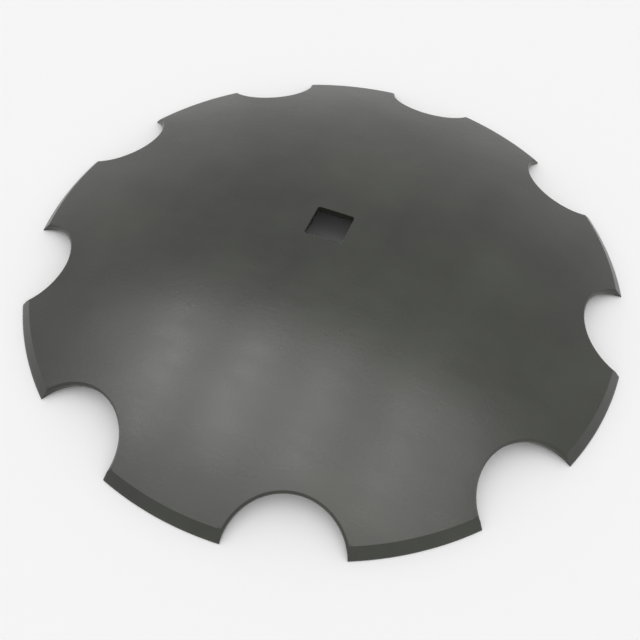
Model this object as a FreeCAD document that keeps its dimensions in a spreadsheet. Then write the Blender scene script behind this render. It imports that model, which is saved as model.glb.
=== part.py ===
"""Notched disc blade of a disc harrow.

One round plate of hardened steel, dished to a part of a sphere, with nine round notches in its
rim, a sharpening bevel round the convex side of its cutting edge and a square hole for the axle.

The blade lies on its cutting edge with its hollow side down: the origin is the centre of the
plane of the rim, +Z runs along the axle out of the convex side, and the flats of the axle hole
are parallel to X and Y.
"""
import FreeCAD, Part

import os
import Sketcher

# Driving dimensions, in millimetres and degrees.
SIZES = (
    ("disc_diameter", 457.2, "across the cutting edge, an 18 inch blade"),
    ("plate_thickness", 4.8, "of the plate, square to its faces"),
    ("dish_depth", 36.5, "of the hollow side, from the plane of the rim"),
    ("axle_width", 28.6, "across the flats of the square axle, 1-1/8 inch"),
    ("axle_clearance", 0.4, "that the hole is wider than the axle"),
    ("axle_corner_radius", 2.0, "of the corners of the hole"),
    ("notch_count", 9, "notches, spaced evenly round the rim"),
    ("notch_radius", 38.0, "of each round notch"),
    ("notch_depth", 36.2, "of each notch, along the plate from the rim"),
    ("notch_bevel", 1.6, "taken off the convex edge of each notch"),
    ("first_notch_turn", 45.0, "from X, which puts this notch on a corner of the axle hole"),
    ("edge_bevel_width", 6.5, "of the sharpened band, seen along the axle"),
    ("edge_land", 0.9, "left blunt at the cutting edge"),
)

# Sizes that follow from them, as expressions of the sheet.
RIM_RADIUS = "(Sizes.disc_diameter / 2)"
DISH_RADIUS = f"(({RIM_RADIUS}^2 + Sizes.dish_depth^2) / (2 * Sizes.dish_depth))"
CONVEX_RADIUS = f"({DISH_RADIUS} + Sizes.plate_thickness)"
HOLE_WIDTH = "(Sizes.axle_width + Sizes.axle_clearance)"
BEVEL_START = f"(sqrt({CONVEX_RADIUS}^2 - Sizes.notch_radius^2) - Sizes.notch_bevel)"
FLARE = "(2 * Sizes.notch_bevel)"
NOTCH_LEAN = (
    f"(asin({RIM_RADIUS} / {DISH_RADIUS}) + asin(Sizes.notch_radius / {DISH_RADIUS})"
    f" - Sizes.notch_depth / {DISH_RADIUS} * 1 rad)"
)

# The sketcher's own numbers for its axes and for the points of a curve.
X_AXIS, Y_AXIS = range(-1, -3, -1)
START, END, CENTRE = range(1, 4)
ORIGIN_POINT = (X_AXIS, START)


def add_sizes(document):
    """Put the driving dimensions in a sheet: alias, value and what it measures."""
    sheet = document.addObject("Spreadsheet::Sheet", "Sizes")
    for row, (alias, value, meaning) in enumerate(SIZES, start=1):
        sheet.set(f"A{row}", alias)
        sheet.set(f"B{row}", str(value))
        sheet.set(f"C{row}", meaning)
        sheet.setAlias(f"B{row}", alias)
    document.recompute()


def origin_feature(body, role):
    """One of the body's own origin planes or axes, such as XZ_Plane or Z_Axis."""
    return next(item for item in body.Origin.OriginFeatures if item.Role == role)


def add_sketch(body, name, plane_role):
    """A sketch on one of the body's own origin planes."""
    sketch = body.newObject("Sketcher::SketchObject", name)
    sketch.AttachmentSupport = [(origin_feature(body, plane_role), "")]
    sketch.MapMode = "FlatFace"
    return sketch


def add_line(sketch, start, end):
    return sketch.addGeometry(Part.LineSegment(FreeCAD.Vector(*start, 0), FreeCAD.Vector(*end, 0)))


def add_arc(sketch, start, middle, end):
    points = (FreeCAD.Vector(*point, 0) for point in (start, middle, end))
    return sketch.addGeometry(Part.Arc(*points))


def join(sketch, *pairs):
    """Make pairs of points, each a (curve, point) place, meet."""
    for first, second in pairs:
        sketch.addConstraint(Sketcher.Constraint("Coincident", *first, *second))


def place_on(sketch, place, axis):
    sketch.addConstraint(Sketcher.Constraint("PointOnObject", *place, axis))


def amount(sketch, expression):
    """What an expression of the sheet comes to now."""
    return float(sketch.evalExpression(expression))


def measure(sketch, kind, places, name, expression):
    """Add a dimension to a sketch, positive from its first place, and bind it to the sizes."""
    index = sketch.addConstraint(
        Sketcher.Constraint(kind, *places, amount(sketch, expression))
    )
    sketch.renameConstraint(index, name)
    sketch.setExpression(f"Constraints.{name}", expression)


def add_plate(body):
    """The dished plate: its section turned about the axle.

    The section starts at the top of the hollow, follows it out to the cutting edge, goes up the
    blunt land and in along the bevel, and comes back over the convex side, whose arc has the
    hollow's centre.
    """
    sketch = add_sketch(body, "PlateSection", "XZ_Plane")
    rim, dish, thickness, blunt, band = (
        amount(sketch, size)
        for size in (
            RIM_RADIUS,
            "Sizes.dish_depth",
            "Sizes.plate_thickness",
            "Sizes.edge_land",
            "Sizes.edge_bevel_width",
        )
    )
    shoulder = (rim - band, thickness)
    hollow = add_arc(sketch, (rim, 0), (rim / 2, dish * 3 / 4), (0, dish))
    land = add_line(sketch, (rim, 0), (rim, blunt))
    bevel = add_line(sketch, (rim, blunt), shoulder)
    convex = add_arc(sketch, shoulder, (rim / 2, dish * 3 / 4 + thickness), (0, dish + thickness))
    centre_line = add_line(sketch, (0, dish + thickness), (0, dish))
    join(
        sketch,
        ((hollow, START), (land, START)),
        ((land, END), (bevel, START)),
        ((bevel, END), (convex, START)),
        ((convex, END), (centre_line, START)),
        ((centre_line, END), (hollow, END)),
        ((hollow, CENTRE), (convex, CENTRE)),
    )
    sketch.addConstraint(Sketcher.Constraint("Vertical", land))
    place_on(sketch, (land, START), X_AXIS)
    for place in ((centre_line, START), (centre_line, END), (hollow, CENTRE)):
        place_on(sketch, place, Y_AXIS)
    measure(sketch, "DistanceX", (*ORIGIN_POINT, land, START), "rim", RIM_RADIUS)
    measure(sketch, "DistanceY", (*ORIGIN_POINT, hollow, END), "dish", "Sizes.dish_depth")
    measure(
        sketch, "DistanceY", (hollow, END, convex, END), "thickness", "Sizes.plate_thickness"
    )
    measure(sketch, "DistanceY", (land, START, land, END), "land", "Sizes.edge_land")
    measure(
        sketch, "DistanceX", (convex, START, land, START), "bevel", "Sizes.edge_bevel_width"
    )

    plate = body.newObject("PartDesign::Revolution", "Plate")
    plate.Profile = sketch
    plate.ReferenceAxis = (sketch, ["V_Axis"])
    plate.Angle = 360
    return plate


def add_axle_hole(body):
    """The square hole through the middle of the plate, punched along the axle."""
    sketch = add_sketch(body, "AxleSquare", "XY_Plane")
    half = amount(sketch, HOLE_WIDTH) / 2
    corners = ((-half, -half), (half, -half), (half, half), (-half, half))
    sides = [add_line(sketch, corners[side], corners[(side + 1) % 4]) for side in range(4)]
    join(sketch, *(((sides[side], END), (sides[(side + 1) % 4], START)) for side in range(4)))
    for side, direction in zip(sides, ("Horizontal", "Vertical", "Horizontal", "Vertical")):
        sketch.addConstraint(Sketcher.Constraint(direction, side))
    sketch.addConstraint(
        Sketcher.Constraint("Symmetric", sides[0], START, sides[2], START, *ORIGIN_POINT)
    )
    measure(sketch, "DistanceX", (sides[0], START, sides[0], END), "width", HOLE_WIDTH)
    measure(sketch, "DistanceY", (sides[1], START, sides[1], END), "depth", HOLE_WIDTH)

    hole = body.newObject("PartDesign::Pocket", "AxleHole")
    hole.Profile = sketch
    hole.Type = "ThroughAll"
    hole.Reversed = True
    return hole


def round_hole_corners(body, hole):
    """Round the four upright edges in the corners of the axle hole."""
    upright = []
    for number, edge in enumerate(hole.Shape.Edges, start=1):
        corners = [vertex.Point for vertex in edge.Vertexes]
        if len(corners) == 2 and corners[0].sub(corners[1]).cross(FreeCAD.Vector(0, 0, 1)).Length < 1e-6:
            upright.append(f"Edge{number}")
    rounding = body.newObject("PartDesign::Fillet", "HoleCorners")
    rounding.Base = (hole, upright)
    rounding.setExpression("Radius", "Sizes.axle_corner_radius")
    return rounding


def add_first_notch(body):
    """One round notch, cut square to the plate by a cutter with a 45 degree flare.

    The cutter's sketch stands at the centre of the dish and leans outwards with the radius of the
    dish that runs through the middle of the notch, so the bevel is as wide all round the notch.
    """
    sketch = add_sketch(body, "NotchCutter", "XZ_Plane")
    sketch.setExpression(
        "AttachmentOffset",
        f"placement(vector(0; Sizes.dish_depth - {DISH_RADIUS}; 0);"
        " rotation(vector(0; 1; 0); Sizes.first_notch_turn)"
        f" * rotation(vector(0; 0; 1); -{NOTCH_LEAN}))",
    )
    radius = amount(sketch, "Sizes.notch_radius")
    start, flare_width = amount(sketch, BEVEL_START), amount(sketch, FLARE)
    below, above = start - radius, start + flare_width
    outline = ((0, below), (radius, below), (radius, start), (radius + flare_width, above), (0, above))
    base, wall, flare, top, centre_line = (
        add_line(sketch, outline[corner], outline[(corner + 1) % 5]) for corner in range(5)
    )
    join(
        sketch,
        ((base, END), (wall, START)),
        ((wall, END), (flare, START)),
        ((flare, END), (top, START)),
        ((top, END), (centre_line, START)),
        ((centre_line, END), (base, START)),
    )
    for line, direction in ((base, "Horizontal"), (wall, "Vertical"), (top, "Horizontal")):
        sketch.addConstraint(Sketcher.Constraint(direction, line))
    place_on(sketch, (base, START), Y_AXIS)
    place_on(sketch, (top, END), Y_AXIS)
    measure(sketch, "Distance", (base,), "radius", "Sizes.notch_radius")
    measure(
        sketch,
        "DistanceY",
        (*ORIGIN_POINT, base, START),
        "clear_below_the_plate",
        f"{DISH_RADIUS} - Sizes.notch_radius",
    )
    measure(
        sketch,
        "DistanceY",
        (*ORIGIN_POINT, flare, START),
        "start_of_bevel",
        BEVEL_START,
    )
    for kind, name in (("DistanceX", "flare_out"), ("DistanceY", "flare_up")):
        measure(sketch, kind, (flare, START, flare, END), name, FLARE)

    notch = body.newObject("PartDesign::Groove", "FirstNotch")
    notch.Profile = sketch
    notch.ReferenceAxis = (sketch, ["V_Axis"])
    notch.Angle = 360
    return notch


def repeat_notch(body, notch):
    """All the notches, spaced evenly round the axle."""
    pattern = body.newObject("PartDesign::PolarPattern", "Notches")
    pattern.Originals = [notch]
    pattern.Axis = (origin_feature(body, "Z_Axis"), [""])
    pattern.Angle = 360
    pattern.setExpression("Occurrences", "Sizes.notch_count")
    body.Tip = pattern
    return pattern


def check(document, features):
    """Stop if an object failed, or if a cut took nothing off the plate."""
    failed = [item.Name for item in document.Objects if {"Invalid", "Error"} & set(item.State)]
    if failed:
        raise RuntimeError(f"failed: {', '.join(failed)}")
    for before, after in zip(features, features[1:]):
        if after.Shape.Volume >= before.Shape.Volume and after.Name != "HoleCorners":
            raise RuntimeError(f"{after.Name} cuts nothing")


def export(body):
    shape = body.Shape
    if shape.isNull() or not shape.isValid() or len(shape.Solids) != 1:
        raise RuntimeError(f"{body.Label} is not one sound solid")
    os.makedirs("parts", exist_ok=True)
    shape.exportStep(f"parts/{body.Label}.step")
    box = shape.BoundBox
    print(f"{body.Label}: {box.XLength:.1f} x {box.YLength:.1f} x {box.ZLength:.1f} mm,"
          f" {shape.Volume / 1000:.1f} cm3, {len(shape.Faces)} faces")


document = FreeCAD.newDocument("HarrowDiscBlade")
add_sizes(document)
blade = document.addObject("PartDesign::Body", "DiscBlade")
blade.Label = "disc_blade"
plate = add_plate(blade)
document.recompute()
hole = add_axle_hole(blade)
document.recompute()
corners = round_hole_corners(blade, hole)
document.recompute()
first_notch = add_first_notch(blade)
document.recompute()
notches = repeat_notch(blade, first_notch)
document.recompute()
check(document, [plate, hole, corners, first_notch, notches])
export(blade)
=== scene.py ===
"""A notched harrow disc blade on a pale floor, hollow side down, in a white room."""
import bpy
import math
import numpy as np
from mathutils import Matrix, Vector


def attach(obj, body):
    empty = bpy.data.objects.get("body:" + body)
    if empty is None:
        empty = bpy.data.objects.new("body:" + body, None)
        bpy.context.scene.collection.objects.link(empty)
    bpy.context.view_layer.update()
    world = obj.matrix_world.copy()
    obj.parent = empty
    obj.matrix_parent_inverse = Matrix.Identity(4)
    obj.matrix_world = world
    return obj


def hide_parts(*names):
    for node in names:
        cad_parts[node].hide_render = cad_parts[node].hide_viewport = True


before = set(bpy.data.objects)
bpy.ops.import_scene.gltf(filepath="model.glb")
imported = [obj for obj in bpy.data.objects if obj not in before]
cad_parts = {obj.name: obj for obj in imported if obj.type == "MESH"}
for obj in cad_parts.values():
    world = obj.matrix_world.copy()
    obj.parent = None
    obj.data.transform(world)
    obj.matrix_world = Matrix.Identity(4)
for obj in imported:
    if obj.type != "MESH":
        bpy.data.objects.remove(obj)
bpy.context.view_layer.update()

# ---------------------------------------------------------------------------------------------
# The blade: one plate of hardened steel, about 4.8 mm thick, punched with nine round notches and
# a square hole, dished hot in a press, and ground to a bevel on the convex side of its edge.
# Thin clear lacquer over the dark olive mill scale gives it a soft gloss.
# ---------------------------------------------------------------------------------------------

rim_radius = 0.2286
thickness = 0.0048
dish_depth = 0.0365
land = 0.0009
bevel_width = 0.0065
notches = 9
notch_radius = 0.038
notch_depth = 0.0362
notch_bevel = 0.0016
first_notch = math.radians(45)
hole_half = 0.0145
hole_corner = 0.002

dark_scale = (0.014, 0.016, 0.011, 1)
pale_scale = (0.030, 0.033, 0.023, 1)
lacquer_ior = 1.5
glossiest, dullest = 0.22, 0.34
pit_depth = 0.0004
pit_strength = 0.12

# The hollow is part of a sphere, whose centre lies under the plane of the rim.
dish_radius = (rim_radius ** 2 + dish_depth ** 2) / (2 * dish_depth)
convex_radius = dish_radius + thickness
dish_centre = np.array([0, 0, dish_depth - dish_radius])
rim_lean = math.asin(rim_radius / dish_radius)
notch_angle = math.asin(notch_radius / dish_radius)
notch_lean = rim_lean + notch_angle - notch_depth / dish_radius
turns = first_notch + 2 * math.pi / notches * np.arange(notches)

# How finely the mesh follows the blade: steps along each lobe of the rim and each notch, rows
# over the bevels, insets of the rows just inside them, and rows from there to the axle hole.
lobe_steps = 90
notch_steps = 140
bevel_rows = 7
shoulder_insets = (0.0006, 0.0015, 0.003, 0.005, 0.008)
convex_rows = 16
hollow_rows = 8
hollow_edge_inset = 0.003


def direction(lean, turn):
    """Unit vectors from the centre of the dish: lean from the axle, turn round it."""
    lean, turn = np.broadcast_arrays(lean, turn)
    return np.stack(
        [np.sin(lean) * np.cos(turn), np.sin(lean) * np.sin(turn), np.cos(lean)], axis=-1
    )


notch_middles = direction(notch_lean, turns)


def ring(rim_inset, notch_inset):
    """Directions to one ring that follows the blade's outline, inset from the rim and the notches.

    Each notch gives the arc  cos(a) c + sin(a) (cos(p) i + sin(p) j)  of a circle of angular
    radius a round its middle c, with i towards the axle and j along the rim, p from -q to q. Here
    cos(q) = (cos(L) - cos(C) cos(a)) / (sin(C) sin(a)), with C the lean of c and L that of the
    inset rim, whose arc then runs on to the next notch at a constant lean.
    """
    lean = math.asin((rim_radius - rim_inset) / dish_radius)
    angle = notch_angle + notch_inset / dish_radius
    reach = math.acos(
        (math.cos(lean) - math.cos(notch_lean) * math.cos(angle))
        / (math.sin(notch_lean) * math.sin(angle))
    )
    swing = reach * np.linspace(-1, 1, notch_steps, endpoint=False)[None, :, None]
    middle = notch_middles[:, None, :]
    along = np.stack([-np.sin(turns), np.cos(turns), np.zeros(notches)], axis=-1)[:, None, :]
    inward = np.cross(middle, along)
    inward *= np.sign(inward[..., 2:])
    round_notch = math.cos(angle) * middle + math.sin(angle) * (
        np.cos(swing) * inward + np.sin(swing) * along
    )
    half_notch = math.acos(
        (math.cos(angle) - math.cos(notch_lean) * math.cos(lean))
        / (math.sin(notch_lean) * math.sin(lean))
    )
    lobe = 2 * math.pi / notches - 2 * half_notch
    share = np.linspace(0, 1, lobe_steps, endpoint=False)
    round_lobe = direction(lean, turns[:, None] + half_notch + lobe * share[None, :])
    return np.concatenate([round_notch, round_lobe], axis=1).reshape(-1, 3)


def hole_ring(turn, radius):
    """Points on the wall of the axle hole at the given turns, on a sphere round the dish's centre.

    Their reach from the axle is r = w / cos(a) along a flat, and round a corner
    r = q cos(a - 45) + sqrt(k^2 - q^2 sin^2(a - 45)), with w half the hole's width, k the radius
    of its corners, a the turn from the middle of the nearest flat and q how far from the axle
    the middle of a corner lies.
    """
    folded = np.abs((turn + math.pi / 4) % (math.pi / 2) - math.pi / 4)
    flat = hole_half / np.cos(folded)
    corner_reach = (hole_half - hole_corner) * math.sqrt(2)
    aside = corner_reach * np.sin(folded - math.pi / 4)
    corner = corner_reach * np.cos(folded - math.pi / 4) + np.sqrt(
        np.maximum(hole_corner ** 2 - aside ** 2, 0)
    )
    on_flat = hole_half * np.tan(folded) <= hole_half - hole_corner
    lean = np.arcsin(np.where(on_flat, flat, corner) / radius)
    return dish_centre + radius * direction(lean, turn)


def convex_height(directions):
    """Height of the convex side over the hollow face: the plate, less the two bevels."""
    cos_lean = directions[:, 2]
    sin_lean = np.sqrt(1 - cos_lean ** 2)
    shoulder = math.sqrt(convex_radius ** 2 - (rim_radius - bevel_width) ** 2)
    slope = (shoulder + dish_centre[2] - land) / bevel_width
    rim_cut = (land + slope * rim_radius - dish_centre[2]) / (cos_lean + slope * sin_lean)
    nearest = np.arccos(np.clip((directions @ notch_middles.T).max(axis=1), -1, 1))
    notch_cut = thickness - notch_bevel + (nearest - notch_angle) * dish_radius
    return np.minimum(np.minimum(rim_cut - dish_radius, notch_cut), thickness)


def held_in_rim(points):
    """The same points, drawn in to the rim's radius where they lie outside it."""
    reach = np.hypot(points[:, 0], points[:, 1])
    points[:, :2] *= np.minimum(1, rim_radius / reach)[:, None]
    return points


def blended_row(outer, inner, radius, share):
    """A row between two others on the sphere of this radius: (1 - f) outer + f inner, put on it."""
    blend = (1 - share) * outer * radius + share * (inner - dish_centre)
    blend *= (radius / np.linalg.norm(blend, axis=1))[:, None]
    return dish_centre + blend


def blade_rows():
    """The blade's closed section, as rows of points that each run right round it.

    The rows go in over the convex side, down the axle hole, out under the hollow side and up the
    wall of the rim.
    """
    insets = [
        (bevel_width * share, notch_bevel * share) for share in np.linspace(0, 1, bevel_rows)
    ]
    insets += [(bevel_width + inset, notch_bevel + inset) for inset in shoulder_insets]
    points = []
    for rim_inset, notch_inset in insets:
        directions = ring(rim_inset, notch_inset)
        radius = dish_radius + convex_height(directions)
        points.append(held_in_rim(dish_centre + radius[:, None] * directions))
    turn = np.arctan2(directions[:, 1], directions[:, 0])

    top = hole_ring(turn, convex_radius)
    bottom = hole_ring(turn, dish_radius)
    for share in np.linspace(0, 1, convex_rows)[1:-1]:
        points.append(blended_row(directions, top, convex_radius, share))
    points += [top, (top + bottom) / 2, bottom]
    for share in np.linspace(1, 0, hollow_rows)[1:]:
        points.append(blended_row(directions, bottom, dish_radius, share))

    widening = 1 + bevel_width / shoulder_insets[-1]
    for inset in (hollow_edge_inset, 0):
        points.append(dish_centre + dish_radius * ring(widening * inset, inset))
    points.append((points[0] + points[-1]) / 2)
    return np.stack(points)


def grid_mesh(name, rows):
    """A closed mesh over rows of points: both the rows and each row's points meet themselves."""
    across, around = rows.shape[:2]
    row, step = np.meshgrid(np.arange(across), np.arange(around), indexing="ij")
    ahead, beside = (row + 1) % across, (step + 1) % around
    quads = np.stack(
        [
            row * around + step,
            row * around + beside,
            ahead * around + beside,
            ahead * around + step,
        ],
        axis=-1,
    ).reshape(-1, 4)
    mesh = bpy.data.meshes.new(name)
    mesh.from_pydata(rows.reshape(-1, 3).tolist(), [], quads.tolist())
    mesh.update()
    return mesh


def new_material(name):
    material = bpy.data.materials.new(name)
    material.use_nodes = True
    return material, material.node_tree.nodes, material.node_tree.links


def spread_noise(nodes, links, scale, detail, stretch=(1, 1, 1)):
    """Noise over the blade, from its own coordinates, its cells stretched by the given factors."""
    place = nodes.new("ShaderNodeTexCoord")
    mapping = nodes.new("ShaderNodeMapping")
    mapping.inputs["Scale"].default_value = stretch
    noise = nodes.new("ShaderNodeTexNoise")
    noise.inputs["Scale"].default_value = scale
    noise.inputs["Detail"].default_value = detail
    links.new(place.outputs["Object"], mapping.inputs["Vector"])
    links.new(mapping.outputs["Vector"], noise.inputs["Vector"])
    return noise.outputs["Fac"]


def lacquered_steel():
    """Dark olive mill scale under clear lacquer: cloudy in colour and gloss, with fine pits."""
    material, nodes, links = new_material("lacquered steel")
    shader = nodes["Principled BSDF"]
    shader.inputs["IOR"].default_value = lacquer_ior
    clouds = nodes.new("ShaderNodeValToRGB")
    dark, pale = clouds.color_ramp.elements
    dark.position, dark.color = 0.35, dark_scale
    pale.position, pale.color = 0.7, pale_scale
    links.new(spread_noise(nodes, links, scale=14, detail=6), clouds.inputs["Fac"])
    links.new(clouds.outputs["Color"], shader.inputs["Base Color"])
    gloss = nodes.new("ShaderNodeMapRange")
    gloss.inputs["To Min"].default_value = glossiest
    gloss.inputs["To Max"].default_value = dullest
    streaky = spread_noise(nodes, links, scale=30, detail=5, stretch=(1, 2.5, 1))
    links.new(streaky, gloss.inputs["Value"])
    links.new(gloss.outputs["Result"], shader.inputs["Roughness"])
    pits = nodes.new("ShaderNodeBump")
    pits.inputs["Strength"].default_value = pit_strength
    pits.inputs["Distance"].default_value = pit_depth
    links.new(spread_noise(nodes, links, scale=420, detail=4), pits.inputs["Height"])
    links.new(pits.outputs["Normal"], shader.inputs["Normal"])
    return material


mesh = grid_mesh("blade", blade_rows())
mesh.shade_smooth()
mesh.set_sharp_from_angle(angle=math.radians(14))
mesh.materials.append(lacquered_steel())
blade = bpy.data.objects.new("blade", mesh)
bpy.context.scene.collection.objects.link(blade)
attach(blade, "root")
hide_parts("disc_blade")

# ---------------------------------------------------------------------------------------------
# The floor: a wide matt white sheet that the blade lies on.
# ---------------------------------------------------------------------------------------------

floor_half = 6.0
floor_colour = (0.9, 0.9, 0.9, 1)
floor_roughness = 0.9

floor_corners = [
    (x * floor_half, y * floor_half, 0) for x, y in ((-1, -1), (1, -1), (1, 1), (-1, 1))
]
floor_mesh = bpy.data.meshes.new("floor")
floor_mesh.from_pydata(floor_corners, [], [(0, 1, 2, 3)])
floor_material, floor_nodes, _ = new_material("white sheet")
floor_nodes["Principled BSDF"].inputs["Base Color"].default_value = floor_colour
floor_nodes["Principled BSDF"].inputs["Roughness"].default_value = floor_roughness
floor_mesh.materials.append(floor_material)
floor = bpy.data.objects.new("floor", floor_mesh)
bpy.context.scene.collection.objects.link(floor)

# ---------------------------------------------------------------------------------------------
# The light: a white room, with a row of tube lamps and a wide panel in its ceiling. The room
# lights the floor and the steel; the lamps are only seen mirrored in the lacquer.
# ---------------------------------------------------------------------------------------------

world = bpy.data.worlds.new("white room")
world.use_nodes = True
world.node_tree.nodes["Background"].inputs["Color"].default_value = (1, 1, 1, 1)
world.node_tree.nodes["Background"].inputs["Strength"].default_value = 1.0
bpy.context.scene.world = world

lamp_height = 1.5
tube_length = 0.85
tube_middle = -0.06
# Each tube's distance aside of the blade, its width and its radiance.
tubes = ((-0.95, 0.20, 7), (-0.45, 0.15, 7), (0.0, 0.13, 6), (0.48, 0.14, 5), (0.80, 0.10, 4))
panel_place = (-0.35, -0.32)
panel_size = (2.9, 1.4)
panel_radiance = 1.3


def ceiling_lamp(name, place, size, radiance):
    """A lamp that faces straight down and shows only in what mirrors it."""
    lamp_data = bpy.data.lights.new(name, "AREA")
    lamp_data.shape = "RECTANGLE"
    lamp_data.size, lamp_data.size_y = size
    lamp_data.energy = radiance * math.pi * size[0] * size[1]
    lamp = bpy.data.objects.new(name, lamp_data)
    lamp.location = (*place, lamp_height)
    lamp.visible_diffuse = False
    lamp.visible_camera = False
    bpy.context.scene.collection.objects.link(lamp)


for number, (aside, width, radiance) in enumerate(tubes, start=1):
    ceiling_lamp(f"tube lamp {number}", (aside, tube_middle), (width, tube_length), radiance)
ceiling_lamp("lamp panel", panel_place, panel_size, panel_radiance)

# ---------------------------------------------------------------------------------------------
# The camera looks down on the blade from the front, a little turned and tilted.
# ---------------------------------------------------------------------------------------------

camera_turn = math.radians(19.07)
camera_elevation = math.radians(54.47)
camera_roll = math.radians(3.51)
camera_distance = 2.1747 * rim_radius
camera_aside = -0.02485 * rim_radius
camera_raised = -0.20246 * rim_radius

camera_data = bpy.data.cameras.new("camera")
camera_data.sensor_width = 36
camera_data.lens = 35.469
camera_data.clip_start = 0.01
camera = bpy.data.objects.new("camera", camera_data)
bpy.context.scene.collection.objects.link(camera)

back = Vector((
    math.cos(camera_elevation) * math.sin(camera_turn),
    -math.cos(camera_elevation) * math.cos(camera_turn),
    math.sin(camera_elevation),
))
level = Vector((math.cos(camera_turn), math.sin(camera_turn), 0))
right = level * math.cos(camera_roll) + back.cross(level) * math.sin(camera_roll)
up = back.cross(right)
place = back * camera_distance + right * camera_aside + up * camera_raised
camera.matrix_world = Matrix.Translation(place) @ Matrix((right, up, back)).transposed().to_4x4()
bpy.context.scene.camera = camera
bpy.context.scene.view_settings.view_transform = "Standard"
